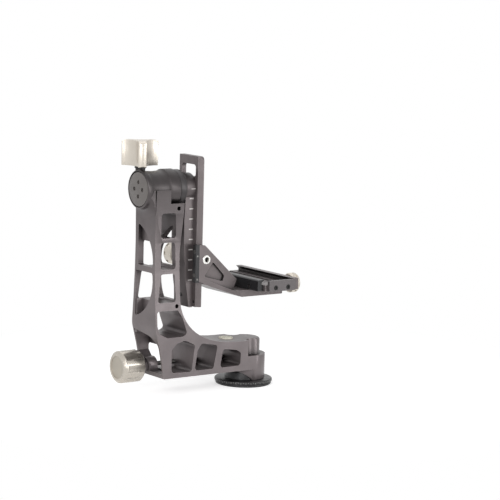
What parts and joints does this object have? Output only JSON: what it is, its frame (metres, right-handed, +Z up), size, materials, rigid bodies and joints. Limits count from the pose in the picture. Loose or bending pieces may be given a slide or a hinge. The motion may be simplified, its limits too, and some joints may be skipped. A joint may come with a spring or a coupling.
{
  "type": "gimbal tripod head",
  "caption": "L-shaped skeletonised gimbal head with pan base, tilt hub, vertical dovetail rail, sliding cradle and a clamp for a lens plate.",
  "frame": {"origin": "centre of the pan base's underside, on the pan axis and at the mouth of the tripod thread", "axes": "+Z up along the pan axis, X along the tilt axis with the column at -X, the lens points to -Y"},
  "size_m": [0.1832, 0.0992, 0.2475],
  "materials": {
    "dark_anodised": "satin anodised",
    "end_plate_grey": "satin anodised",
    "black_anodised": "matte anodised",
    "black_screws": "black oxide",
    "bright_steel": "turned",
    "bronze": "plain",
    "cap_grey": "satin anodised",
    "silver_knob": "satin",
    "knob_face": "matte",
    "seal_rubber": "matte",
    "level_yellow": "clear"
  },
  "bodies": {
    "base": {"base_flange": "black_anodised", "pan_spindle": "bright_steel", "foot_screws": "black_screws", "pan_spacer": "bright_steel"},
    "arm": {"main_arm": "dark_anodised", "pan_bearing": "bright_steel", "pan_bush": "bronze", "pan_retaining_ring": "black_anodised", "pan_lock_nut": "bright_steel", "ledge_screws": "black_screws", "level_body": "bright_steel", "level_vial": "level_yellow", "tilt_cap": "cap_grey", "tilt_bearing_outer": "bright_steel", "tilt_bearing_inner": "bright_steel", "tilt_lock_nut": "bright_steel", "tilt_seal": "seal_rubber"},
    "tilt_lock": {"tilt_lock_washer": "black_anodised", "tilt_lock_screw": "bright_steel", "tilt_lock_knob": "silver_knob"},
    "pan_lock": {"pan_lock_screw": "bright_steel", "pan_lock_knob": "silver_knob", "pan_knob_insert": "knob_face"},
    "swing": {"tilt_shaft": "dark_anodised", "tilt_shaft_nut": "bright_steel", "wave_washer": "bright_steel", "swing_arm": "dark_anodised", "hub_bolt": "black_screws", "hub_dowels": "bright_steel", "vertical_rail": "dark_anodised", "rail_screws": "black_screws", "rail_stops": "black_screws"},
    "cradle": {"cradle_bracket": "dark_anodised", "rail_keeper": "black_anodised", "rail_clamp_bush": "bright_steel", "keeper_screws": "bright_steel", "rail_guide_pins": "bright_steel", "lens_clamp_body": "dark_anodised", "platform_screws": "black_screws", "lens_end_plate": "end_plate_grey", "end_plate_screws": "black_screws", "plate_stop_pin": "bright_steel", "lens_guide_pins": "bright_steel"},
    "rail_jaw": {"rail_clamp_jaw": "black_anodised"},
    "rail_knob": {"rail_clamp_screw": "bright_steel", "rail_clamp_knob": "silver_knob"},
    "lens_jaw": {"lens_clamp_jaw": "black_anodised"},
    "lens_knob": {"lens_clamp_screw": "bright_steel", "lens_clamp_knob": "silver_knob"}
  },
  "joints": [
    {"name": "pan", "type": "hinge", "parent": "base", "child": "arm", "pos_m": [0, 0, 0], "axis": [0, 0, 1], "continuous": true},
    {"name": "tilt", "type": "hinge", "parent": "arm", "child": "swing", "pos_m": [0, 0, 0.2013], "axis": [1, 0, 0], "continuous": true},
    {"name": "tilt_lock_turn", "type": "hinge", "parent": "arm", "child": "tilt_lock", "pos_m": [-0.1208, 0.011, 0.2227], "axis": [0, 0, 1], "range_deg": [0, 720]},
    {"name": "pan_lock_turn", "type": "hinge", "parent": "arm", "child": "pan_lock", "pos_m": [-0.1192, 0.011, 0.0268], "axis": [-1, 0, 0], "range_deg": [0, 720]},
    {"name": "cradle_height", "type": "slide", "parent": "swing", "child": "cradle", "axis": [0, 0, 1], "range_m": [-0.014, 0.075]},
    {"name": "rail_jaw_slide", "type": "slide", "parent": "cradle", "child": "rail_jaw", "axis": [0, 1, 0], "range_m": [0, 0.004]},
    {"name": "rail_knob_turn", "type": "hinge", "parent": "rail_jaw", "child": "rail_knob", "pos_m": [-0.063, 0.0214, 0.1316], "axis": [0, 1, 0], "range_deg": [0, 1153]},
    {"name": "lens_jaw_slide", "type": "slide", "parent": "cradle", "child": "lens_jaw", "axis": [-1, 0, 0], "range_m": [0, 0.004]},
    {"name": "lens_knob_turn", "type": "hinge", "parent": "cradle", "child": "lens_knob", "pos_m": [0.0296, -0.03, 0.1036], "axis": [1, 0, 0], "range_deg": [0, 1441]}
  ],
  "couplings": [
    {"joint": "rail_knob_turn", "follows": "rail_jaw_slide", "rad_per_m": 5026.5},
    {"joint": "lens_knob_turn", "follows": "lens_jaw_slide", "rad_per_m": 6283.2}
  ]
}
